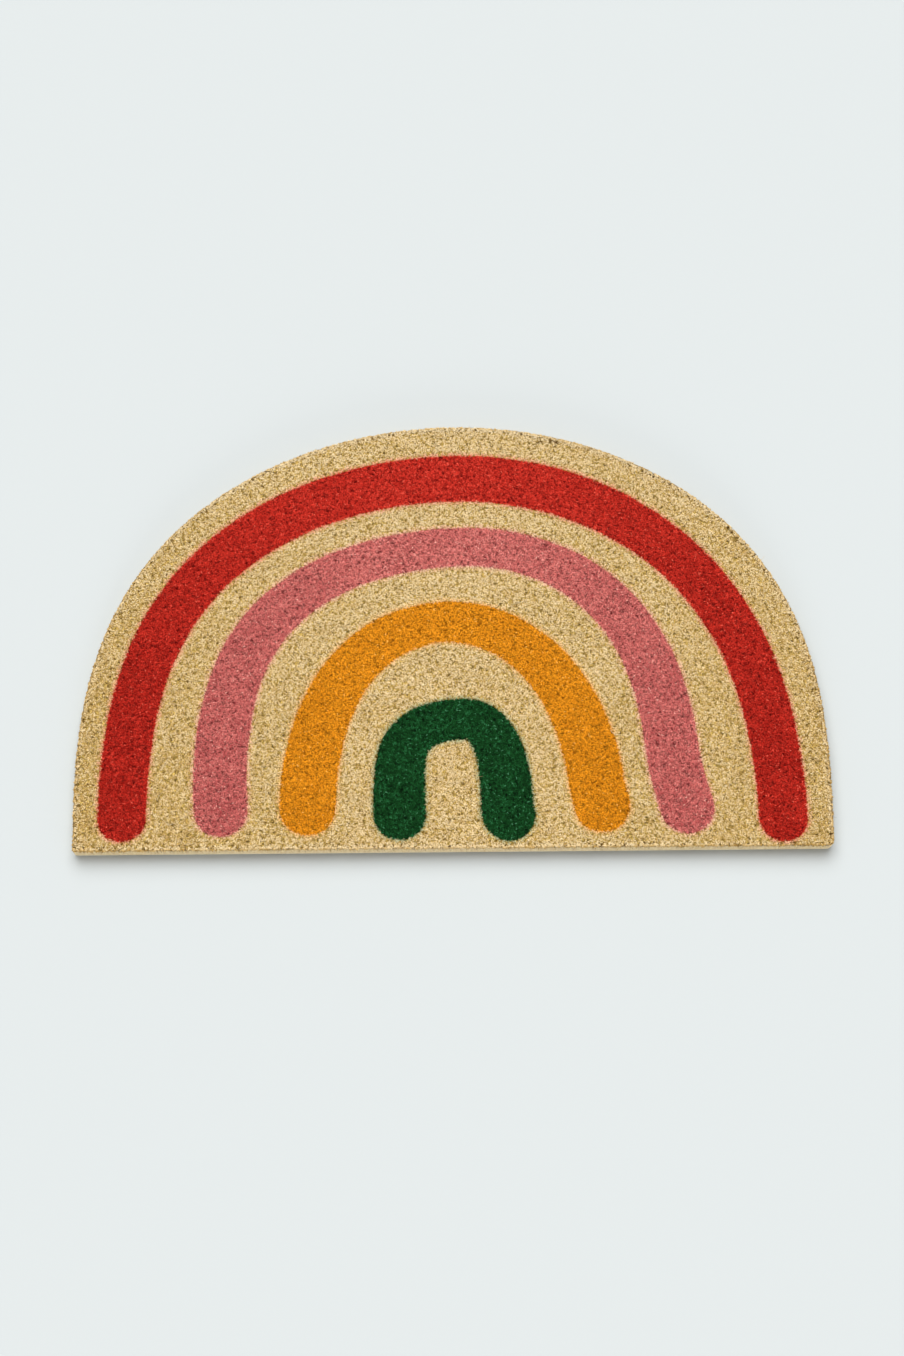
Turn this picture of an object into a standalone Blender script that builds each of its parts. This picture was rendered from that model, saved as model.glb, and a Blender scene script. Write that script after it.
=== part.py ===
"""Half-moon coir doormat, lying flat on the plane z = 0.

A slab of upright coir bristles stands on a thin vinyl backing. Both are cut to one outline: a straight
front edge and a broad arch behind it. The origin is the middle of the mat's footprint, on the underside.
The front edge faces -Y. All values are in metres unless a name says otherwise.
"""

import math

import bmesh
import bpy

# Driving dimensions of the whole mat
MAT_WIDTH = 0.750
MAT_DEPTH = 0.450
MAT_THICKNESS = 0.017

# The layers, from the floor up
BACKING_THICKNESS = 0.0025
LAYER_GAP = 0.0003

# The arch is |x / half width| ** SIDE_POWER + (y / depth) ** CROWN_POWER = 1, which is a little
# fuller than an ellipse
SIDE_POWER = 2.0
CROWN_POWER = 3.0
ARCH_SEGMENTS = 140

# The knife wandered along the arch: (waves in a whole turn, size in metres, start in degrees)
CUT_WANDER = (
    (3, 0.0010, -109.0),
    (4, 0.0011, -123.0),
    (5, 0.0016, -11.0),
)

# The two front corners, seen from above
LEFT_CORNER_RADIUS = 0.0025
RIGHT_CORNER_RADIUS = 0.0060
CORNER_SEGMENTS = 5

# The bristles' ends wear round along the rim of the upper face
PILE_RIM_RADIUS = 0.0020
PILE_RIM_SEGMENTS = 3

# How closely the arch is worked out, how near a point lies to a level it counts as on, and the
# sharpest fold that is shaded smooth
ARCH_PRECISION = 1e-7
LEVEL_PRECISION = 1e-6
SMOOTH_UP_TO = math.radians(40.0)

# Name, colour (linear red, green, blue), roughness
COIR = ("coir bristle", (0.62, 0.43, 0.19), 0.95)
VINYL = ("cream vinyl", (0.66, 0.55, 0.36), 0.60)


def clear_scene():
    for old in list(bpy.data.objects):
        bpy.data.objects.remove(old, do_unlink=True)


def make_material(name, colour, roughness):
    material = bpy.data.materials.new(name)
    material.use_nodes = True
    shader = material.node_tree.nodes["Principled BSDF"]
    shader.inputs["Base Color"].default_value = (*colour, 1.0)
    shader.inputs["Roughness"].default_value = roughness
    shader.inputs["Metallic"].default_value = 0.0
    return material


def arch_radius(angle):
    """Distance from the middle of the front edge to the arch, found by halving."""
    near = 0.0
    far = MAT_WIDTH
    while far - near > ARCH_PRECISION:
        middle = (near + far) / 2
        across = abs(middle * math.cos(angle)) / (MAT_WIDTH / 2)
        back = max(middle * math.sin(angle), 0.0) / MAT_DEPTH
        if across**SIDE_POWER + back**CROWN_POWER > 1:
            far = middle
        else:
            near = middle
    return near


def cut_wander(angle):
    return sum(
        size * math.sin(waves * angle + math.radians(start))
        for waves, size, start in CUT_WANDER
    )


def arch_points():
    """The curved edge from the right front corner round to the left one, with the front edge at y = 0."""
    points = []
    for step in range(ARCH_SEGMENTS + 1):
        angle = math.pi * step / ARCH_SEGMENTS
        radius = arch_radius(angle) + cut_wander(angle)
        points.append((radius * math.cos(angle), max(radius * math.sin(angle), 0.0)))
    return points


def to_footprint(points):
    """The points stretched to the mat's true width and depth, with the origin in the middle of them."""
    left = min(x for x, _ in points)
    right = max(x for x, _ in points)
    back = max(y for _, y in points)
    return [
        (
            ((x - left) / (right - left) - 0.5) * MAT_WIDTH,
            (y / back - 0.5) * MAT_DEPTH,
        )
        for x, y in points
    ]


def round_corner(mesh, corner, radius):
    bmesh.ops.bevel(
        mesh,
        geom=[corner],
        offset=radius,
        offset_type="OFFSET",
        segments=CORNER_SEGMENTS,
        profile=0.5,
        affect="VERTICES",
    )


def outline_face(mesh, height):
    """The mat's outline as one face, looking up, with both front corners rounded."""
    corners = [
        mesh.verts.new((x, y, height)) for x, y in to_footprint(arch_points())
    ]
    mesh.faces.new(corners)
    round_corner(mesh, corners[0], RIGHT_CORNER_RADIUS)
    round_corner(mesh, corners[-1], LEFT_CORNER_RADIUS)


def raise_slab(mesh, thickness):
    """Gives the outline face its thickness, upwards."""
    raised = bmesh.ops.extrude_face_region(mesh, geom=mesh.faces[:])
    top = [item for item in raised["geom"] if isinstance(item, bmesh.types.BMVert)]
    bmesh.ops.translate(mesh, verts=top, vec=(0.0, 0.0, thickness))
    bmesh.ops.recalc_face_normals(mesh, faces=mesh.faces[:])


def wear_rim(mesh, height):
    """Rounds the edge between the upper face and the sides."""
    rim = [
        edge
        for edge in mesh.edges
        if all(abs(vert.co.z - height) < LEVEL_PRECISION for vert in edge.verts)
    ]
    bmesh.ops.bevel(
        mesh,
        geom=rim,
        offset=PILE_RIM_RADIUS,
        offset_type="OFFSET",
        segments=PILE_RIM_SEGMENTS,
        profile=0.5,
        affect="EDGES",
        clamp_overlap=True,
    )


def finish_object(name, mesh, material):
    data = bpy.data.meshes.new(name)
    mesh.to_mesh(data)
    mesh.free()
    data.materials.append(material)
    data.shade_smooth()
    data.set_sharp_from_angle(angle=SMOOTH_UP_TO)
    piece = bpy.data.objects.new(name, data)
    bpy.context.scene.collection.objects.link(piece)
    return piece


def make_backing_sheet():
    """The vinyl that holds the bristles' roots, flat on the floor."""
    mesh = bmesh.new()
    outline_face(mesh, 0.0)
    raise_slab(mesh, BACKING_THICKNESS)
    return finish_object("backing_sheet", mesh, make_material(*VINYL))


def make_coir_pile():
    """The bristles as one slab, from the backing up to the tread."""
    foot = BACKING_THICKNESS + LAYER_GAP
    mesh = bmesh.new()
    outline_face(mesh, foot)
    raise_slab(mesh, MAT_THICKNESS - foot)
    wear_rim(mesh, MAT_THICKNESS)
    return finish_object("coir_pile", mesh, make_material(*COIR))


clear_scene()
make_backing_sheet()
make_coir_pile()
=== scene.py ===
import math

import bpy
import numpy as np
from mathutils import Matrix, Vector, kdtree


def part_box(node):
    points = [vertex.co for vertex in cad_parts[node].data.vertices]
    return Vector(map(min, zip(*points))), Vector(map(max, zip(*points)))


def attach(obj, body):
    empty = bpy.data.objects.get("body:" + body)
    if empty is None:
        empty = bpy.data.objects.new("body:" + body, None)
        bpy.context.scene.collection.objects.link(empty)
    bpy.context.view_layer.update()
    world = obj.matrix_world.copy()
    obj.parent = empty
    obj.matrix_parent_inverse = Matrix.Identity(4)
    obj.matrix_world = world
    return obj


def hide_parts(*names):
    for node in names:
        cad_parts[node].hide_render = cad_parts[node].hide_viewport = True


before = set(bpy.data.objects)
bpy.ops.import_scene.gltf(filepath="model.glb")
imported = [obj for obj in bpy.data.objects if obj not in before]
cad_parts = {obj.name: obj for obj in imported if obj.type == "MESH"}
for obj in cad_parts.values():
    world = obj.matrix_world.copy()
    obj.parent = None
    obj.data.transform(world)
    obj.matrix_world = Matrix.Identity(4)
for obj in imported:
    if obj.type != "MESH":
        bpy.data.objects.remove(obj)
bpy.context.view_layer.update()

mm = 0.001
dice = np.random.default_rng(29)

backLow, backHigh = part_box("backing_sheet")
pileLow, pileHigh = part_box("coir_pile")
frontY = backLow.y  # the straight front edge
matWidth = backHigh.x - backLow.x
matDepth = backHigh.y - backLow.y


# Small helpers

def toLinear(hexColour):
    # sRGB hex to the linear colour that nodes take
    parts = [int(hexColour[i:i + 2], 16) / 255 for i in (1, 3, 5)]
    return tuple(p / 12.92 if p <= 0.04045 else ((p + 0.055) / 1.055) ** 2.4 for p in parts) + (1.0,)


def addNode(tree, kind, settings=None, links=None, stops=None):
    # one node, its settings (sockets by name or number, else properties), what feeds it and, on a
    # colour ramp, its stops from left to right
    node = tree.nodes.new(kind)
    for key, value in (settings or {}).items():
        if isinstance(key, int) or key in node.inputs:
            node.inputs[key].default_value = value
        else:
            setattr(node, key, value)
    for key, source in (links or {}).items():
        tree.links.new(source, node.inputs[key])
    if stops:
        elements = node.color_ramp.elements
        while len(elements) < len(stops):
            elements.new(0.5)
        for element, (place, colour) in zip(elements, stops):
            element.position = place
            element.color = toLinear(colour)
    return node


def newMaterial(name):
    material = bpy.data.materials.new(name)
    material.use_nodes = True
    material.node_tree.nodes.clear()
    return material, material.node_tree


def deselectAll():
    if bpy.context.mode != "OBJECT":
        bpy.ops.object.mode_set(mode="OBJECT")
    bpy.ops.object.select_all(action="DESELECT")


def pickUp(piece):
    # the only selected object, ready for an operator
    deselectAll()
    piece.select_set(True)
    bpy.context.view_layer.objects.active = piece


def selectPoints(piece, test):
    # edit mode's selection, made by place
    bpy.ops.object.mode_set(mode="EDIT")
    bpy.ops.mesh.select_mode(type="VERT")
    bpy.ops.mesh.select_all(action="DESELECT")
    bpy.ops.object.mode_set(mode="OBJECT")
    for vertex in piece.data.vertices:
        vertex.select = test(vertex.co)
    bpy.ops.object.mode_set(mode="EDIT")


def applyModifier(piece, kind, settings):
    pickUp(piece)
    modifier = piece.modifiers.new(kind.title(), kind)
    for key, value in settings.items():
        setattr(modifier, key, value)
    bpy.ops.object.modifier_apply(modifier=modifier.name)


def copyOfNode(node, name):
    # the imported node's shape as a new piece, its loose triangles merged
    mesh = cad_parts[node].data.copy()
    mesh.materials.clear()
    piece = bpy.data.objects.new(name, mesh)
    bpy.context.scene.collection.objects.link(piece)
    pickUp(piece)
    bpy.ops.object.mode_set(mode="EDIT")
    bpy.ops.mesh.select_all(action="SELECT")
    bpy.ops.mesh.remove_doubles(threshold=0.01 * mm)
    bpy.ops.object.mode_set(mode="OBJECT")
    return piece


def softNoise(points, cell):
    # smooth random hills from -1 to 1, one hill about every cell metres
    spare = 2  # hills beyond the mat's box, because tips lean out past it
    place = (points - np.array([backLow.x, backLow.y])) / cell + spare
    low = np.floor(place).astype(int)
    share = place - low
    share = share * share * (3 - 2 * share)
    across = int(matWidth / cell) + 3 * spare
    along = int(matDepth / cell) + 3 * spare
    hills = dice.uniform(-1, 1, (across, along))
    i = np.clip(low[:, 0], 0, across - 2)
    j = np.clip(low[:, 1], 0, along - 2)
    nearSide = hills[i, j] * (1 - share[:, 0]) + hills[i + 1, j] * share[:, 0]
    farSide = hills[i, j + 1] * (1 - share[:, 0]) + hills[i + 1, j + 1] * share[:, 0]
    return nearSide * (1 - share[:, 1]) + farSide * share[:, 1]


def bell(values, middle, width):
    # 1 at the middle, fading to nothing on both sides
    return np.exp(-((values - middle) / width) ** 2)


def gridCorners(spacing):
    across = np.arange(backLow.x, backHigh.x, spacing)
    along = np.arange(backLow.y, backHigh.y, spacing)
    return np.stack(np.meshgrid(across, along), -1).reshape(-1, 2)


def scatterMiddles(spacing):
    # one loose point in each square of a grid
    corners = gridCorners(spacing)
    return corners + dice.uniform(0, spacing, corners.shape)


def nearestOf(middles, points):
    # for each point: the number of the nearest middle and how far off it is
    tree = kdtree.KDTree(len(middles))
    for i, (x, y) in enumerate(middles):
        tree.insert((x, y, 0), i)
    tree.balance()
    found = [tree.find((x, y, 0)) for x, y in points]
    return np.array([hit[1] for hit in found]), np.array([hit[2] for hit in found])


# The outline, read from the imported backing

def readOutline():
    corners = np.array([v.co[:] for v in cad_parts["backing_sheet"].data.vertices])
    corners = np.unique(np.round(corners[:, :2], 6), axis=0)
    return corners[np.argsort(np.arctan2(corners[:, 1], corners[:, 0]))]


outline = readOutline()
outlineRun = np.roll(outline, -1, axis=0) - outline
outlineLength = np.linalg.norm(outlineRun, axis=1)


def depthInside(points):
    # how far each point lies inside the outline, which is taken to bulge everywhere
    inward = np.stack([-outlineRun[:, 1], outlineRun[:, 0]], 1) / outlineLength[:, None]
    offset = (inward * outline).sum(1)
    lots = np.array_split(points, 40)  # in 40 lots, to spare memory
    return np.concatenate([(lot @ inward.T - offset).min(1) for lot in lots])


def alongRim(perMm, behind):
    # loose points just inside the outline, with the way along the edge and the way inwards
    gone = np.concatenate([[0], np.cumsum(outlineLength)])
    count = int(gone[-1] / mm * perMm)
    at = dice.uniform(0, gone[-1], count)
    edge = np.searchsorted(gone, at, side="right") - 1
    along = outlineRun[edge] / outlineLength[edge][:, None]
    inward = np.stack([-along[:, 1], along[:, 0]], 1)
    foot = outline[edge] + along * (at - gone[edge])[:, None]
    return foot + inward * dice.uniform(*behind, count)[:, None], along, inward


# The printed arches, in mm. Each is a band about a middle line, whose crown lies so far back from the
# front edge and so far to the right. Each side has a reach, a fullness (2 is an ellipse), a rounded end
# that stays so far from the front edge, and a splay, by which the foot turns out.

arches = {
    "red": {
        "crown": 392.5, "crownAt": 8.0, "footWidth": 48.6, "crownWidth": 51.6,
        "leftReach": 328.5, "leftFullness": 2.95, "leftEnd": 8.5, "leftSplay": -0.5,
        "rightReach": 324.5, "rightFullness": 2.65, "rightEnd": 3.0, "rightSplay": 1.0,
    },
    "pink": {
        "crown": 317.0, "crownAt": 15.5, "footWidth": 53.8, "crownWidth": 42.3,
        "leftReach": 233.0, "leftFullness": 3.7, "leftEnd": 13.0, "leftSplay": -5.5,
        "rightReach": 220.5, "rightFullness": 3.15, "rightEnd": 12.0, "rightSplay": 23.0,
    },
    "orange": {
        "crown": 236.0, "crownAt": -4.0, "footWidth": 56.0, "crownWidth": 44.0,
        "leftReach": 146.0, "leftFullness": 2.75, "leftEnd": 14.0, "leftSplay": -3.0,
        "rightReach": 145.0, "rightFullness": 2.45, "rightEnd": 14.0, "rightSplay": 9.5,
    },
    "green": {
        "crown": 133.0, "crownAt": 12.0, "footWidth": 53.0, "crownWidth": 43.0,
        "leftReach": 54.0, "leftFullness": 7.5, "leftEnd": 7.5, "leftSplay": -2.0,
        "rightReach": 53.0, "rightFullness": 3.8, "rightEnd": 6.5, "rightSplay": 20.0,
    },
}
printing = {
    "samples": 1600,         # points along half a middle line, before they are spaced evenly
    "spacing": 1.5 * mm,
    "centre": 1.2 * mm,      # the arches' common middle, from the mat's
    "splayHeight": 0.3,      # share of the arch's height over which a foot turns out
    "splayCurve": 1.5,
    "crownNarrowing": 3,     # the higher, the longer a band keeps its foot's width
    "edgeWander": 0.6 * mm,  # the edge of the print wavers by this much
    "wanderCell": 18 * mm,   # about this often
    "edgeFuzz": 0.35 * mm,   # and by this much more from bristle to bristle
    "bleed": 0.9 * mm,       # the ink thins out over this much on both sides of the edge
    "stain": 0.5,            # and leaves a trace of itself further out
    "stainWidth": 3.0 * mm,
    "inkSteps": 5,           # a bristle takes one of so many amounts of ink, or none
    "dither": (0.1, 0.9),    # share of a step that is added before the amount is rounded down
    "paleAt": 1.3 * mm,      # bristles just outside the edge stand pressed up and catch the light
    "paleWidth": 1.5 * mm,
    "paleTone": 0.25,
}


def middleLine(arch):
    # points along the arch's middle line and the printed half width at each
    turn = np.linspace(0, math.pi / 2, printing["samples"])
    halves = []
    for side, reach, fullness, end, splay in (
        (-1, "leftReach", "leftFullness", "leftEnd", "leftSplay"),
        (1, "rightReach", "rightFullness", "rightEnd", "rightSplay"),
    ):
        x = side * arch["crownAt"] + (arch[reach] - side * arch["crownAt"]) * np.cos(turn)
        y = arch["crown"] * np.sin(turn) ** (2 / arch[fullness])
        splayTop = arch["crown"] * printing["splayHeight"]
        turnedOut = np.clip(1 - y / splayTop, 0, 1) ** printing["splayCurve"]
        x = side * (x + arch[splay] * turnedOut)
        kept = y >= arch[end] + arch["footWidth"] / 2
        halves.append(np.stack([x[kept], y[kept]], 1))
    line = np.concatenate([halves[0], halves[1][::-1]])
    gone = np.concatenate([[0], np.cumsum(np.linalg.norm(np.diff(line, axis=0), axis=1))])
    even = np.arange(0, gone[-1], printing["spacing"] / mm)
    line = np.stack([np.interp(even, gone, line[:, 0]), np.interp(even, gone, line[:, 1])], 1)
    rise = (line[:, 1] / arch["crown"]) ** printing["crownNarrowing"]
    halfWidth = (arch["footWidth"] + (arch["crownWidth"] - arch["footWidth"]) * rise) / 2
    place = line * mm + np.array([printing["centre"], frontY])
    return place, halfWidth * mm


def printedAs(points):
    # for each point: the number of its nearest arch and how far outside that arch's print it is
    lines = [middleLine(arch) for arch in arches.values()]
    place = np.concatenate([line for line, _ in lines])
    halfWidth = np.concatenate([width for _, width in lines])
    which = np.concatenate([np.full(len(line), i) for i, (line, _) in enumerate(lines)])
    nearest, distance = nearestOf(place, points)
    wander = printing["edgeWander"] * softNoise(points, printing["wanderCell"])
    return which[nearest], distance - halfWidth[nearest] + wander


def insideArch(points, name):
    # true where a point lies under the arch's middle line
    arch = arches[name]
    x = (points[:, 0] - printing["centre"]) / mm - arch["crownAt"]
    y = np.clip((points[:, 1] - frontY) / mm, 0, None)
    reach = np.where(x < 0, arch["leftReach"] + arch["crownAt"], arch["rightReach"] - arch["crownAt"])
    fullness = np.where(x < 0, arch["leftFullness"], arch["rightFullness"])
    return (np.abs(x) / reach) ** 2 + (y / arch["crown"]) ** fullness < 1


# A bristle of the tread, one of the sides and a long fibre, each modelled once, one unit wide and one
# unit long

treadBristle = {
    "outwards": 1.2,     # its end is drawn out this far to one side
    "backwards": 0.9,    # and this far to the other
    "lower": 0.1,        # where it also lies lower
    "rootBack": 0.7,     # its root stands this far back
}
sideBristle = {
    "cornerBack": 0.1,   # the corner that goes up moves back by this much
    "pointBack": 0.4,    # and the point by this much
}
longFibre = {
    "cuts": (0.2, 0.4, 0.6, 0.8),
    "endWidth": 0.4,
}
sameSpot = 0.01          # points nearer than this count as one


def keptShape(name):
    piece = bpy.context.active_object
    piece.data.name = name
    piece.data.calc_loop_triangles()
    shape = {
        "points": np.array([v.co[:] for v in piece.data.vertices]),
        "faces": np.array([t.vertices[:] for t in piece.data.loop_triangles]),
    }
    bpy.data.objects.remove(piece)
    return shape


def modelTreadBristle():
    # a cone rooted at its point; its end is drawn out both ways, as a fibre bent over by feet
    deselectAll()
    bpy.ops.mesh.primitive_cone_add(vertices=3, radius1=0, radius2=0.5, depth=1, location=(0, 0, 0.5))
    bpy.ops.object.transform_apply(location=True)
    piece = bpy.context.active_object
    selectPoints(piece, lambda co: co.z > 0.5 and co.y > 0)
    bpy.ops.transform.translate(value=(0, treadBristle["outwards"], 0))
    selectPoints(piece, lambda co: co.z > 0.5 and co.y < 0)
    bpy.ops.transform.translate(value=(0, -treadBristle["backwards"], -treadBristle["lower"]))
    selectPoints(piece, lambda co: co.z < 0.5)
    bpy.ops.transform.translate(value=(0, -treadBristle["rootBack"], 0))
    bpy.ops.object.mode_set(mode="OBJECT")
    return keptShape("tread bristle")


def modelSideBristle():
    # a cone on three corners; one corner goes up beside the point, so the end is a cut edge
    deselectAll()
    bpy.ops.mesh.primitive_cone_add(vertices=3, radius1=0.5, radius2=0, depth=1, location=(0, 0, 0.5))
    bpy.ops.object.transform_apply(location=True)
    piece = bpy.context.active_object
    lifted = max((v.co.copy() for v in piece.data.vertices if v.co.z < 0.5), key=lambda co: co.y)
    selectPoints(piece, lambda co: (co - lifted).length < sameSpot)
    bpy.ops.transform.translate(value=(0, -sideBristle["cornerBack"], 1))
    selectPoints(piece, lambda co: co.z > 0.5 and abs(co.y) < sameSpot)
    bpy.ops.transform.translate(value=(0, -sideBristle["pointBack"], 0))
    bpy.ops.mesh.select_all(action="SELECT")
    bpy.ops.mesh.normals_make_consistent(inside=False)
    bpy.ops.object.mode_set(mode="OBJECT")
    return keptShape("side bristle")


def modelLongFibre():
    # a three-sided rod cut across in four places, so that it can bow, and drawn thin at both ends
    deselectAll()
    bpy.ops.mesh.primitive_cylinder_add(vertices=3, radius=0.5, depth=1, location=(0, 0, 0.5))
    bpy.ops.object.transform_apply(location=True)
    piece = bpy.context.active_object
    bpy.ops.object.mode_set(mode="EDIT")
    for cut in longFibre["cuts"]:
        bpy.ops.mesh.select_all(action="SELECT")
        bpy.ops.mesh.bisect(plane_co=(0, 0, cut), plane_no=(0, 0, 1))
    thin = longFibre["endWidth"]
    for end in (0, 1):
        selectPoints(piece, lambda co: abs(co.z - end) < sameSpot)
        bpy.ops.transform.resize(value=(thin, thin, 1), center_override=(0, 0, end))
    bpy.ops.object.mode_set(mode="OBJECT")
    return keptShape("long fibre")


treadShape = modelTreadBristle()
sideShape = modelSideBristle()
longFibreShape = modelLongFibre()
print("modelled two bristles and a long fibre")


def plant(name, shape, fibres, material):
    # copies the modelled shape once for each fibre, from its root to its tip, as one mesh
    root, tip, width, tone = fibres["root"], fibres["tip"], fibres["width"], fibres["tone"]
    count = len(root)
    axis = tip - root
    turn = dice.uniform(0, 2 * math.pi, count)
    level = np.stack([np.cos(turn), np.sin(turn), np.zeros(count)], 1)
    side = np.cross(axis, level)
    side /= np.linalg.norm(side, axis=1)[:, None]
    other = np.cross(axis, side)
    other /= np.linalg.norm(other, axis=1)[:, None]
    x, y, z = shape["points"].T
    points = root[:, None] + axis[:, None] * z[:, None]
    points = points - other[:, None] * (width[:, None] * x)[:, :, None]
    points = points - side[:, None] * (width[:, None] * y)[:, :, None]
    if "bow" in fibres:
        # the whole bow at mid length and none at the ends
        points = points + fibres["bow"][:, None] * (4 * z * (1 - z))[:, None]
    if "lowest" in fibres:
        points[:, :, 2] = np.maximum(points[:, :, 2], fibres["lowest"])
    corners = len(shape["points"])
    faces = shape["faces"][None] + (np.arange(count) * corners)[:, None, None]

    mesh = bpy.data.meshes.new(name)
    mesh.from_pydata(points.reshape(-1, 3), [], faces.reshape(-1, 3))
    toneAt = mesh.attributes.new("tone", "FLOAT", "POINT")
    toneAt.data.foreach_set("value", np.repeat(tone, corners).astype(np.float32))
    alongAt = mesh.attributes.new("along", "FLOAT", "POINT")
    along = np.interp(z, (0, 1), fibres.get("lit", (0, 1)))
    alongAt.data.foreach_set("value", np.tile(along, count).astype(np.float32))
    if "ink" in fibres:
        inkAt = mesh.attributes.new("ink", "FLOAT", "POINT")
        inkAt.data.foreach_set("value", np.repeat(fibres["ink"], corners).astype(np.float32))
    layOut(mesh, shape, fibres.get("shade", tone))
    if fibres.get("rounded", True):
        mesh.shade_smooth()
    mesh.materials.append(material)
    piece = bpy.data.objects.new(name, mesh)
    bpy.context.scene.collection.objects.link(piece)
    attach(piece, "root")
    print("planted", name, count, "fibres")
    return piece


def layOut(mesh, shape, shade):
    # the map goes by shade across and by height upwards, so each fibre lies in a narrow strip of it
    # that it shares with fibres of its own shade
    x, y, z = shape["points"].T
    strip = 0.006
    across = strip + (1 - 2 * strip) * shade[:, None] + strip * x[None]
    upwards = np.broadcast_to(strip + (1 - 2 * strip) * z / z.max() + strip * y, across.shape)
    places = np.stack([across, upwards], -1)
    layer = mesh.uv_layers.new(name="OFBake")
    used = np.empty(len(mesh.loops), np.int32)
    mesh.loops.foreach_get("vertex_index", used)
    layer.data.foreach_set("uv", places.reshape(-1, 2)[used].ravel().astype(np.float32))


# Materials

coirTones = (0.0, 0.3, 0.55, 0.8, 1.0)
usualTone = 2  # the middle one of them
coirColours = {
    # each colour's dullest to brightest fibres, at the tones above
    "natural": ("#472c04", "#ae8b45", "#d6bf92", "#dac6a1", "#e6d6ac"),
    "red": ("#470302", "#84110b", "#c13125", "#db4e3d", "#dc6450"),
    "pink": ("#4e1517", "#9c4142", "#ca716a", "#da9088", "#e6b4a4"),
    "orange": ("#6c3804", "#b36d11", "#d98e1c", "#e59c28", "#efbd62"),
    "green": ("#010502", "#071b0a", "#16451f", "#327648", "#56906a"),
}
coirStops = {name: list(zip(coirTones, colours)) for name, colours in coirColours.items()}
vinylStops = [(0.3, "#e8dab6"), (0.55, "#dfcfa8"), (0.8, "#cfbb92")]
patternSizes = {
    # in mm
    "pith": 0.625,       # streaks on a fibre
    "pebble": 1.8,
    "cloud": 60,
    "fibreEnd": 0.8,     # real ends are about 0.3 mm across, too fine to show
}


def coirMaterial(name, colour, inked):
    # coconut husk fibre, cut across: matt and straw-like, with a slight shine on bare fibres, each
    # fibre its own shade and darker towards its root, where light hardly reaches
    material, tree = newMaterial(name)
    tone = addNode(tree, "ShaderNodeAttribute", {"attribute_name": "tone"})
    along = addNode(tree, "ShaderNodeAttribute", {"attribute_name": "along"})
    byTone = {"Fac": tone.outputs["Fac"]}
    shade = addNode(tree, "ShaderNodeValToRGB", links=byTone, stops=coirStops[colour]).outputs["Color"]
    if inked:
        # the ink wets all but the foot of a bristle, and fully only away from the edge of the print
        bare = addNode(tree, "ShaderNodeValToRGB", links=byTone, stops=coirStops["natural"])
        ink = addNode(tree, "ShaderNodeAttribute", {"attribute_name": "ink"})
        reach = addNode(tree, "ShaderNodeMapRange", {"From Min": 0.0, "From Max": 0.2},
                        {"Value": along.outputs["Fac"]})
        wet = addNode(tree, "ShaderNodeMath", {"operation": "MULTIPLY"},
                      {0: reach.outputs["Result"], 1: ink.outputs["Fac"]})
        shade = addNode(tree, "ShaderNodeMix", {"data_type": "RGBA"},
                        {0: wet.outputs["Value"], 6: bare.outputs["Color"], 7: shade}).outputs[2]
    place = addNode(tree, "ShaderNodeTexCoord")
    # pith and husk skin, as streaks on the fibres
    pith = addNode(tree, "ShaderNodeTexNoise", {"Scale": 1000 / patternSizes["pith"], "Detail": 2.0},
                   {"Vector": place.outputs["Object"]})
    streak = addNode(tree, "ShaderNodeMapRange",
                     {"From Min": 0.3, "From Max": 0.7, "To Min": 0.9, "To Max": 1.06},
                     {"Value": pith.outputs["Fac"]})
    foot = addNode(tree, "ShaderNodeMapRange",
                   {"From Min": 0.2, "From Max": 0.8, "To Min": 0.7, "To Max": 1.0},
                   {"Value": along.outputs["Fac"]})
    dim = addNode(tree, "ShaderNodeMath", {"operation": "MULTIPLY"},
                  {0: streak.outputs["Result"], 1: foot.outputs["Result"]})
    colourNow = addNode(tree, "ShaderNodeVectorMath", {"operation": "SCALE"},
                        {0: shade, "Scale": dim.outputs["Value"]})
    rough = addNode(tree, "ShaderNodeMapRange", {"To Min": 0.62, "To Max": 0.9},
                    {"Value": pith.outputs["Fac"]})
    grain = addNode(tree, "ShaderNodeBump", {"Strength": 0.25, "Distance": 0.05 * mm},
                    {"Height": pith.outputs["Fac"]})
    shine = 0.01 if inked else 0.25
    shader = addNode(tree, "ShaderNodeBsdfPrincipled", {"IOR": 1.5, "Specular IOR Level": shine},
                     {"Base Color": colourNow.outputs["Vector"], "Roughness": rough.outputs["Result"],
                      "Normal": grain.outputs["Normal"]})
    addNode(tree, "ShaderNodeOutputMaterial", links={"Surface": shader.outputs["BSDF"]})
    return material


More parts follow.
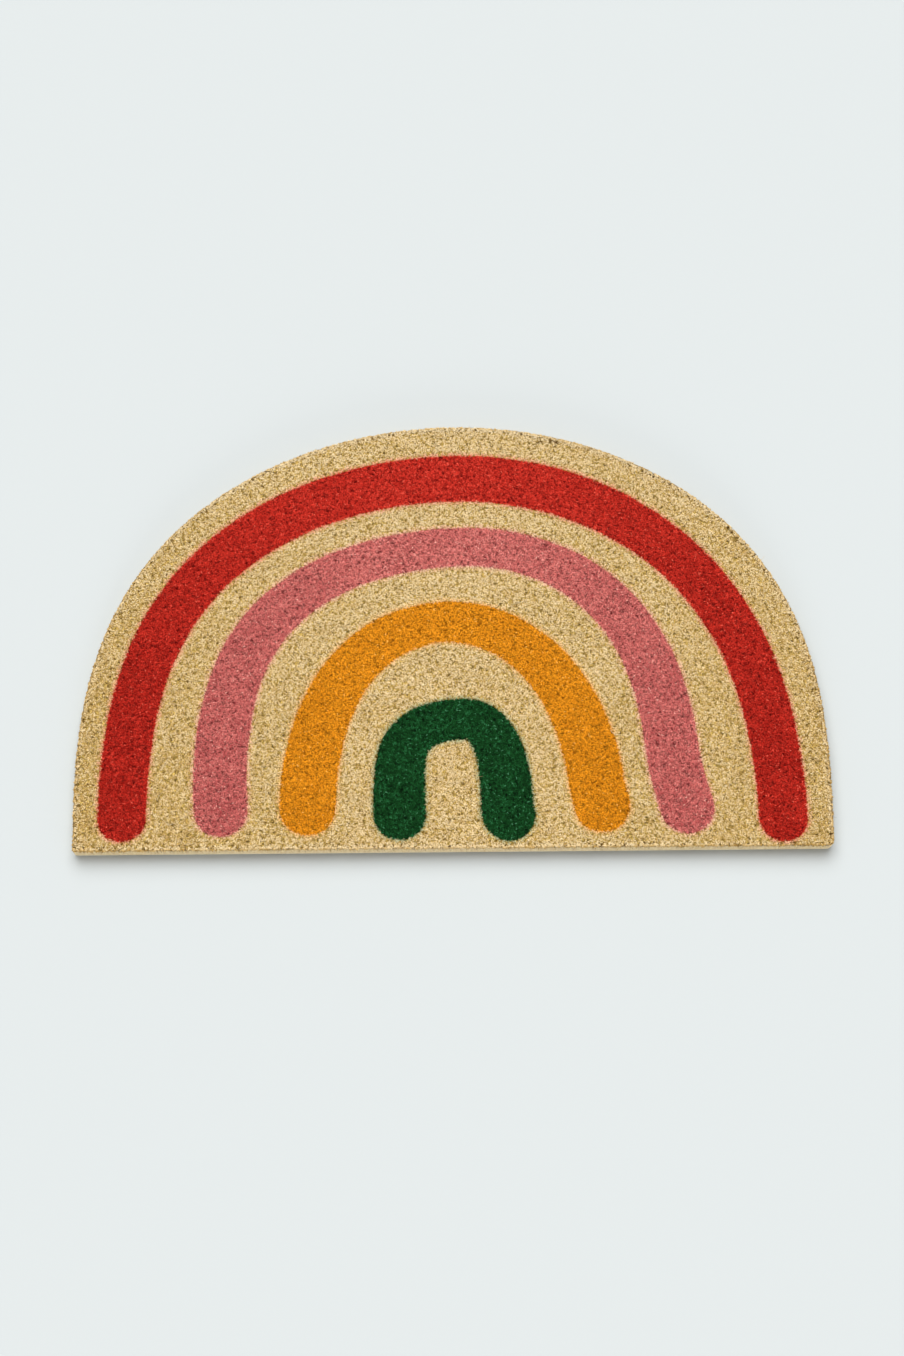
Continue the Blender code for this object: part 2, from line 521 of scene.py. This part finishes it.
def vinylMaterial():
    # calendered vinyl, unpigmented cream: soft shine, pebbled face, a little darker between the pebbles
    material, tree = newMaterial("calendered cream vinyl")
    place = addNode(tree, "ShaderNodeTexCoord")
    pebble = addNode(tree, "ShaderNodeTexVoronoi",
                     {"feature": "SMOOTH_F1", "Scale": 1000 / patternSizes["pebble"], "Smoothness": 0.6},
                     {"Vector": place.outputs["Object"]})
    cloud = addNode(tree, "ShaderNodeTexNoise", {"Scale": 1000 / patternSizes["cloud"], "Detail": 4.0},
                    {"Vector": place.outputs["Object"]})
    mixed = addNode(tree, "ShaderNodeMath", {"operation": "MULTIPLY_ADD", 1: 0.25},
                    {0: pebble.outputs["Distance"], 2: cloud.outputs["Fac"]})
    tint = addNode(tree, "ShaderNodeValToRGB", links={"Fac": mixed.outputs["Value"]}, stops=vinylStops)
    rough = addNode(tree, "ShaderNodeMapRange", {"To Min": 0.42, "To Max": 0.62},
                    {"Value": cloud.outputs["Fac"]})
    relief = addNode(tree, "ShaderNodeBump", {"Strength": 0.6, "Distance": 0.25 * mm},
                     {"Height": pebble.outputs["Distance"]})
    shader = addNode(tree, "ShaderNodeBsdfPrincipled", {"IOR": 1.53},
                     {"Base Color": tint.outputs["Color"], "Roughness": rough.outputs["Result"],
                      "Normal": relief.outputs["Normal"]})
    addNode(tree, "ShaderNodeOutputMaterial", links={"Surface": shader.outputs["BSDF"]})
    return material


def packedMaterial():
    # coir packed on end in the depth of the pile: round fibre ends, some pale and some dark and all
    # dimmed a little as painted shade of the depth, with painted shade in the dark chinks between them,
    # and stained by the ink under the print
    material, tree = newMaterial("packed coir in the depth of the pile")
    place = addNode(tree, "ShaderNodeTexCoord")
    ink = addNode(tree, "ShaderNodeAttribute", {"attribute_name": "ink"})
    outside = addNode(tree, "ShaderNodeAttribute", {"attribute_name": "outside"})
    inked = addNode(tree, "ShaderNodeMapRange",
                    {"From Min": -0.4, "From Max": 1.0, "To Min": 1.0, "To Max": 0.0},
                    {"Value": outside.outputs["Fac"]})
    stain = addNode(tree, "ShaderNodeMix", {"data_type": "RGBA", 6: toLinear("#d9b764")},
                    {0: inked.outputs["Result"], 7: ink.outputs["Color"]})
    ends = addNode(tree, "ShaderNodeTexVoronoi", {"Scale": 1000 / patternSizes["fibreEnd"]},
                   {"Vector": place.outputs["Object"]})
    # each end's own tone, kept below full brightness as painted shade of the depth
    each = addNode(tree, "ShaderNodeMapRange",
                   {"From Min": 0.2, "From Max": 0.8, "To Min": 0.4, "To Max": 0.95},
                   {"Value": ends.outputs["Color"]})
    # painted shade in the chinks: darker towards the edge of each fibre end
    chinkShade = addNode(tree, "ShaderNodeMapRange",
                    {"From Min": 0.36, "From Max": 0.64, "To Min": 1.05, "To Max": 0.32},
                    {"Value": ends.outputs["Distance"]})
    light = addNode(tree, "ShaderNodeMath", {"operation": "MULTIPLY"},
                    {0: each.outputs["Result"], 1: chinkShade.outputs["Result"]})
    colourNow = addNode(tree, "ShaderNodeVectorMath", {"operation": "SCALE"},
                        {0: stain.outputs[2], "Scale": light.outputs["Value"]})
    relief = addNode(tree, "ShaderNodeBump", {"Strength": 0.7, "Distance": 0.4 * mm, "invert": True},
                     {"Height": ends.outputs["Distance"]})
    shader = addNode(tree, "ShaderNodeBsdfPrincipled", {"Roughness": 0.92, "Specular IOR Level": 0.05},
                     {"Base Color": colourNow.outputs["Vector"], "Normal": relief.outputs["Normal"]})
    addNode(tree, "ShaderNodeOutputMaterial", links={"Surface": shader.outputs["BSDF"]})
    return material


# The vinyl backing

backing = {
    "edgeRound": 1.6 * mm,
    "edgeSegments": 3,
    "smoothUpTo": 50,    # degrees between faces
}


def oneFaceBelow(piece, level):
    # the flat underside becomes a single face, left selected
    slack = 0.1 * mm
    selectPoints(piece, lambda co: co.z < level + slack)
    bpy.ops.mesh.dissolve_limited(angle_limit=math.radians(1), use_dissolve_boundaries=False)


def makeBacking():
    piece = copyOfNode("backing_sheet", "vinyl_backing")
    oneFaceBelow(piece, backLow.z)
    bpy.ops.mesh.bevel(offset=backing["edgeRound"], segments=backing["edgeSegments"], affect="EDGES")
    bpy.ops.object.mode_set(mode="OBJECT")
    piece.data.materials.append(vinylMaterial())
    pickUp(piece)
    bpy.ops.object.shade_smooth_by_angle(angle=math.radians(backing["smoothUpTo"]))
    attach(piece, "root")
    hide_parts("backing_sheet")
    print("made the vinyl backing")


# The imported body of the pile, from the backing up to where single bristles stand out

body = {
    "inset": 0.9 * mm,       # its sides stand this far behind the outline
    "below": 1.2 * mm,       # its top lies this far under the tread
    "flatBelow": 1.5 * mm,   # what lies this low is pressed flat onto the backing
    "clean": 5 * mm,         # the lower half counts as this far outside the print
    "voxel": 3.6 * mm,
    "lumpSize": 9 * mm,
    "lumpHeight": 0.8 * mm,
}


def makePileBody():
    piece = copyOfNode("coir_pile", "coir_pile_body")
    selectPoints(piece, lambda co: True)
    narrower = 1 - 2 * body["inset"] / matWidth
    shallower = 1 - 2 * body["inset"] / matDepth
    lower = 1 - body["below"] / (pileHigh.z - pileLow.z)
    bpy.ops.transform.resize(value=(narrower, shallower, lower), center_override=(0, 0, pileLow.z))
    bpy.ops.object.mode_set(mode="OBJECT")
    applyModifier(piece, "REMESH", {"mode": "VOXEL", "voxel_size": body["voxel"]})
    lumps = bpy.data.textures.new("pile lumps", "CLOUDS")
    lumps.noise_scale = body["lumpSize"]
    applyModifier(piece, "DISPLACE", {"texture": lumps, "strength": body["lumpHeight"], "direction": "Z",
                                      "texture_coords": "LOCAL"})
    for vertex in piece.data.vertices:
        if vertex.co.z < pileLow.z + body["flatBelow"]:
            vertex.co.z = pileLow.z
    oneFaceBelow(piece, pileLow.z)
    bpy.ops.object.mode_set(mode="OBJECT")
    place = np.array([v.co[:] for v in piece.data.vertices])
    arch, outside = printedAs(place[:, :2])
    outside[place[:, 2] < (pileLow.z + pileHigh.z) / 2] = body["clean"]
    inks = np.array([toLinear(coirColours[name][usualTone]) for name in arches])
    ink = piece.data.attributes.new("ink", "FLOAT_COLOR", "POINT")
    ink.data.foreach_set("color", inks[arch].ravel().astype(np.float32))
    edge = piece.data.attributes.new("outside", "FLOAT", "POINT")
    edge.data.foreach_set("value", (outside / mm).astype(np.float32))
    piece.data.materials.append(packedMaterial())
    piece.data.shade_smooth()
    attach(piece, "root")
    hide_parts("coir_pile")
    print("made the packed body of the pile,", len(piece.data.polygons), "faces")
    return piece


# The bristles of the tread

tread = {
    "perSquareMm": 0.73,
    "scatter": 0.6,          # share of the spacing that a bristle may stray
    "rootBelow": 2.8 * mm,   # under the tread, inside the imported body
    "rootInset": 0.5 * mm,   # behind the outline
    "rimPerMm": 2.4,         # more of them stand along the rim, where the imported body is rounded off
    "rimBehind": (0.2 * mm, 2.4 * mm),
    "tipBeyond": 0.3 * mm,   # a tip may reach this far past the outline
    "width": (0.65 * mm, 1.05 * mm),
    "lean": 0.7 * mm,        # how far tips stray sideways, one by one
    "tuftSpacing": 3.4 * mm,
    "tuftReach": 1.4,        # a tuft ends this many half spacings from its middle
    "tuftPull": 0.15,        # share of the way that tips bend towards their tuft's middle
    "tuftLean": 0.4 * mm,
    "unevenness": 0.3 * mm,
    "tuftDip": 0.5 * mm,     # how much lower bristles end at the rim of a tuft
    "rimDip": 0.2 * mm,      # and at the rim of the mat
    "rimWidth": 3.0 * mm,
}
shading = {
    # on the scale of coirTones
    "middle": 0.60,
    "fibre": 0.06,           # spread from fibre to fibre
    "tuft": 0.045,           # from tuft to tuft
    "patch": 0.02,           # over wider patches
    "patchCells": (45 * mm, 14 * mm),
    "dipShade": 0.08,             # painted shade: how much duller a tuft's rim is, where its bristles end lower
    "outerShade": 0.105,          # painted shade: how much duller the mat is at its left and right ends
    "outerInkShade": 0.135,       # and the ink there, also painted shade
    "outerCurve": 1.2,
    "front": 0.04,           # and towards its front edge, as painted shade
    "edge": 0.15,            # how much duller the outermost bristles are, which stand in full light
    "edgeWidth": 1.4 * mm,
    "rim": 0.07,             # painted light: how much paler those just behind them are
    "rimAt": 3.3 * mm,
    "rimWidth": 1.9 * mm,
    "darkShare": 0.02,       # a few fibres are quite dark and a few quite pale
    "darkTones": (0, 0.2),
    "paleShare": 0.02,
    "paleTones": (0.85, 1),
}
pits = {
    # small gaps between the tufts, darkened with painted shade
    "spacing": 5.6 * mm,
    "radius": (0.8 * mm, 2.1 * mm),
    "steepness": 1.5,        # 1 would reach the full depth only in the very middle
    # painted shade in the pits
    "tone": 0.9,
    "depth": 0.9 * mm,
    "fromRim": 2.5 * mm,
}


def scatterRoots():
    spacing = mm / math.sqrt(tread["perSquareMm"])
    points = gridCorners(spacing)
    points += dice.uniform(-1, 1, points.shape) * tread["scatter"] * spacing
    rim = alongRim(tread["rimPerMm"], tread["rimBehind"])[0]
    return np.concatenate([points[depthInside(points) > tread["rootInset"]], rim])


def nearPits(tips):
    # 1 where a tip lies deep in one of the pits, 0 where it is clear of them
    holes = scatterMiddles(pits["spacing"])
    holes = holes[depthInside(holes) > pits["fromRim"]]
    radius = dice.uniform(*pits["radius"], len(holes))
    hole, away = nearestOf(holes, tips)
    return np.clip(pits["steepness"] * (1 - away / radius[hole]), 0, 1)


def takeInk(outside, tone):
    # each bristle's share of ink, in steps, and its shade: bare bristles have the whole width of the
    # map that layOut makes, and each step of ink has its own part of that width
    steps = printing["inkSteps"]
    amount = np.clip(0.5 - outside / (2 * printing["bleed"]), 0, 1)
    trace = printing["stain"] * bell(np.clip(outside, 0, None), 0, printing["stainWidth"])
    dither = dice.uniform(*printing["dither"], len(tone))
    step = np.clip(np.floor(np.maximum(amount, trace) * steps + dither), 0, steps)
    return step / steps, np.where(step > 0, (step - 1 + tone) / steps, tone)


def growTread():
    roots = scatterRoots()
    count = len(roots)
    tufts = scatterMiddles(tread["tuftSpacing"])
    own, away = nearestOf(tufts, roots)
    toMiddle = tufts[own] - roots
    outwards = np.clip(away / (tread["tuftSpacing"] / 2), 0, tread["tuftReach"]) ** 2 / 2
    tuftLean = dice.normal(0, tread["tuftLean"], (len(tufts), 2))[own]
    tips = roots + toMiddle * tread["tuftPull"] + tuftLean + dice.normal(0, tread["lean"], (count, 2))
    over = -(depthInside(tips) + tread["tipBeyond"])
    towards = -tips / np.linalg.norm(tips, axis=1)[:, None]
    tips += towards * np.clip(over, 0, None)[:, None]
    inside = depthInside(tips)
    pit = nearPits(tips)

    short = tread["tuftDip"] * outwards + np.abs(dice.normal(0, tread["unevenness"], count))
    short += pits["depth"] * pit
    short += tread["rimDip"] * np.clip(1 - inside / tread["rimWidth"], 0, 1) ** 2

    arch, outside = printedAs(tips)
    outside = outside + dice.normal(0, printing["edgeFuzz"], count)
    tone = shading["middle"] + dice.normal(0, shading["fibre"], count)
    tone += dice.normal(0, shading["tuft"], len(tufts))[own]
    tone += sum(shading["patch"] * softNoise(roots, cell) for cell in shading["patchCells"])
    tone += printing["paleTone"] * bell(outside, printing["paleAt"], printing["paleWidth"])
    # painted shade towards the left and right ends, stronger on the ink
    outerShade = np.where(outside < 0, shading["outerInkShade"], shading["outerShade"])
    sideways = np.abs(tips[:, 0] / (matWidth / 2)) ** shading["outerCurve"]
    # painted shade: duller at a tuft's rim and towards the mat's left and right ends
    tone -= shading["dipShade"] * outwards + outerShade * sideways
    # painted light, lifting the bristles a few mm inside the outline
    tone += shading["rim"] * bell(inside, shading["rimAt"], shading["rimWidth"])
    tone -= shading["edge"] * bell(inside, 0, shading["edgeWidth"])
    # painted shade, darker towards the front edge
    tone -= shading["front"] * (backHigh.y - tips[:, 1]) / matDepth
    chance = dice.uniform(0, 1, count)
    tone = np.where(chance < shading["darkShare"], dice.uniform(*shading["darkTones"], count), tone)
    tone = np.where(chance > 1 - shading["paleShare"], dice.uniform(*shading["paleTones"], count), tone)
    # painted shade: bristles in the pits are darkened
    tone = np.clip(tone - pits["tone"] * pit, 0, 1)
    ink, shade = takeInk(outside, tone)
    return {
        "root": np.column_stack([roots, np.full(count, pileHigh.z - tread["rootBelow"])]),
        "tip": np.column_stack([tips, pileHigh.z - short]),
        "width": dice.uniform(*tread["width"], count),
        "tone": tone,
        "ink": ink,
        "shade": shade,
        "arch": arch,
    }


def someOf(fibres, chosen):
    return {key: value[chosen] for key, value in fibres.items() if key != "arch"}


def makeTread(natural):
    fibres = growTread()
    pieces = []
    printed = fibres["ink"] > 0
    for number, name in enumerate(arches):
        chosen = someOf(fibres, printed & (fibres["arch"] == number))
        material = coirMaterial(name + " ink on cut coir", name, True)
        pieces.append(plant("bristles_" + name, treadShape, chosen, material))
    tips = fibres["tip"][:, :2]
    inRed, inPink, inOrange = (insideArch(tips, name) for name in ("red", "pink", "orange"))
    zones = {
        "outer_margin": ~inRed,
        "under_red": inRed & ~inPink,
        "under_pink": inPink & ~inOrange,
        "under_orange": inOrange,
    }
    for name, zone in zones.items():
        chosen = someOf(fibres, ~printed & zone)
        pieces.append(plant("bristles_" + name, treadShape, chosen, natural))
    return pieces


# The sides, where the mat was cut and the outermost bristles show from root to tip

sides = {
    "perMm": 6.5,
    "behind": (0.1 * mm, 0.8 * mm),
    "width": (0.5 * mm, 1.0 * mm),
    "sway": 1.7 * mm,        # how far tips stray along the edge
    "out": 0.4 * mm,         # and outwards or inwards
    "below": 0.6 * mm,       # the longest of them end this far under the tread
    "short": 0.3 * mm,
    "tone": 0.88,            # paler than the tread, as painted light: the sides get less light than the top
    "spread": 0.16,
    "lit": (0.7, 1.0),       # light reaches them down to the foot
}


def makeSides(natural):
    foot, along, inward = alongRim(sides["perMm"], sides["behind"])
    count = len(foot)
    top = foot + along * dice.normal(0, sides["sway"], count)[:, None]
    top = top - inward * dice.normal(0, sides["out"], count)[:, None]
    over = -(depthInside(top) + tread["tipBeyond"])
    top += inward * np.clip(over, 0, None)[:, None]
    height = pileHigh.z - sides["below"] - np.abs(dice.normal(0, sides["short"], count))
    tone = np.clip(sides["tone"] + dice.normal(0, sides["spread"], count), 0, 1)
    fibres = {
        "root": np.column_stack([foot, np.full(count, pileLow.z)]),
        "tip": np.column_stack([top, height]),
        "width": dice.uniform(*sides["width"], count),
        "tone": tone,
        "lit": sides["lit"],
        "rounded": False,
        "lowest": pileLow.z,
    }
    return plant("bristles_cut_sides", sideShape, fibres, natural)


# Long fibres that were never cut off, bowed over the tread

loose = {
    "tries": 2700,           # those that fall near the rim or the ink are left out
    "fromRim": 4 * mm,
    "clear": 6 * mm,         # kept this far from the ink
    "length": (7 * mm, 22 * mm),
    "width": (0.3 * mm, 0.5 * mm),
    "tones": (0.05, 1),
    "below": 0.9 * mm,       # their ends lie about this far under the tread
    "rise": (-0.8, 0.5),     # in mm, lower or higher than that
    "bow": 2.5 * mm,         # sideways
    "bowUp": 0.5,            # in mm, at most
}
darkFibres = {
    # small bunches of dark fibres near the rim, to the right of the crown
    "bunches": (
        # place from the middle of the front edge, way they lie in degrees, length, count
        ((104.5 * mm, 434.0 * mm), 78, 5.5 * mm, 20),
        ((109.0 * mm, 432.4 * mm), -24, 9.0 * mm, 6),
        ((93.3 * mm, 432.4 * mm), 27, 8.0 * mm, 6),
    ),
    "spread": 0.45 * mm,
    "sway": 9,               # degrees
    "lengthShare": (0.6, 1.1),
    "tones": (0, 0.14),
    "above": 0.3 * mm,
    "bowShare": 0.2,         # of the other fibres' bow
}


def strew(middles, turn, lengths, tones, level):
    # fibres lying over the given places, each turned its own way
    count = len(middles)
    way = np.stack([np.cos(turn), np.sin(turn)], 1) * lengths[:, None] / 2
    rise = dice.uniform(*loose["rise"], (count, 2)) * mm
    width = dice.uniform(*loose["width"], count)
    bowSideways = dice.normal(0, loose["bow"], (count, 2))
    bowUp = dice.uniform(0, loose["bowUp"], count) * mm
    return {
        "root": np.column_stack([middles - way, level + rise[:, 0]]),
        "tip": np.column_stack([middles + way, level + rise[:, 1]]),
        "width": width,
        "tone": tones,
        "bow": np.column_stack([bowSideways, bowUp]),
    }


def makeLooseFibres(natural):
    middles = dice.uniform((backLow.x, backLow.y), (backHigh.x, backHigh.y), (loose["tries"], 2))
    middles = middles[depthInside(middles) > loose["fromRim"]]
    middles = middles[printedAs(middles)[1] > loose["clear"]]
    count = len(middles)
    turn = dice.uniform(0, 2 * math.pi, count)
    lengths = dice.uniform(*loose["length"], count)
    tones = dice.uniform(*loose["tones"], count)
    lots = [strew(middles, turn, lengths, tones, pileHigh.z - loose["below"])]
    for at, way, length, count in darkFibres["bunches"]:
        middles = np.array([at]) + [0, frontY] + dice.normal(0, darkFibres["spread"], (count, 2))
        turn = np.radians(way + dice.normal(0, darkFibres["sway"], count))
        lengths = length * dice.uniform(*darkFibres["lengthShare"], count)
        tones = dice.uniform(*darkFibres["tones"], count)
        lots.append(strew(middles, turn, lengths, tones, pileHigh.z + darkFibres["above"]))
        lots[-1]["bow"] *= darkFibres["bowShare"]
    fibres = {key: np.concatenate([lot[key] for lot in lots]) for key in lots[0]}
    return plant("loose_fibres", longFibreShape, fibres, natural)


# Floor, light and camera

stage = {
    "floorSize": 400.0,      # metres, so that it runs almost to the horizon
    "floorColour": "#a9adad",
    "world": 0.60,
    # height above the floor and turn to the left from straight behind the mat, in degrees
    "keyLight": {"strength": 4.95, "height": 58.0, "turn": 8.0, "softness": 60.0},
    "fillLight": {"strength": 1.45, "height": 12.0, "turn": 180.0, "softness": 22.0},
}
view = {
    "distance": 2.4,
    "tilt": 18.0,            # degrees off straight down, towards the front
    "roll": -0.51,
    "lens": 62.95,
    "aim": (0.3 * mm, 181.4 * mm),  # from the middle of the front edge
}


def makeStage():
    deselectAll()
    bpy.ops.mesh.primitive_plane_add(size=stage["floorSize"], location=(0, 0, 0))
    floor = bpy.context.active_object
    floor.name = "floor"
    material, tree = newMaterial("matt pale floor")
    floorColour = toLinear(stage["floorColour"])
    shader = addNode(tree, "ShaderNodeBsdfPrincipled",
                     {"Base Color": floorColour, "Roughness": 1.0, "Specular IOR Level": 0.0})
    addNode(tree, "ShaderNodeOutputMaterial", links={"Surface": shader.outputs["BSDF"]})
    floor.data.materials.append(material)
    world = bpy.data.worlds.new("studio")
    bpy.context.scene.world = world
    world.use_nodes = True
    background = world.node_tree.nodes["Background"]
    background.inputs["Color"].default_value = (1, 1, 1, 1)
    background.inputs["Strength"].default_value = stage["world"]
    for name in ("keyLight", "fillLight"):
        light = stage[name]
        bpy.ops.object.light_add(type="SUN", location=(0, 0, 1))
        sun = bpy.context.active_object
        sun.name = name
        sun.data.energy = light["strength"]
        sun.data.angle = math.radians(light["softness"])
        sun.rotation_euler = (math.radians(light["height"] - 90), 0, math.radians(light["turn"]))
    bpy.context.scene.view_settings.view_transform = "Standard"


def makeCamera():
    aim = Vector((view["aim"][0], frontY + view["aim"][1], 0))
    tilt = math.radians(view["tilt"])
    eye = aim + Vector((0, -math.sin(tilt), math.cos(tilt))) * view["distance"]
    bpy.ops.object.camera_add(location=eye)
    camera = bpy.context.active_object
    camera.data.lens = view["lens"]
    turn = Matrix.Rotation(tilt, 4, "X") @ Matrix.Rotation(math.radians(view["roll"]), 4, "Z")
    camera.matrix_world = Matrix.Translation(eye) @ turn
    bpy.context.scene.camera = camera


makeBacking()
pileBody = makePileBody()
naturalCoir = coirMaterial("cut coconut fibre", "natural", False)
bristlePieces = makeTread(naturalCoir)
bristlePieces.append(makeSides(naturalCoir))
bristlePieces.append(makeLooseFibres(naturalCoir))
makeStage()
makeCamera()
print("lit the floor and set the camera")
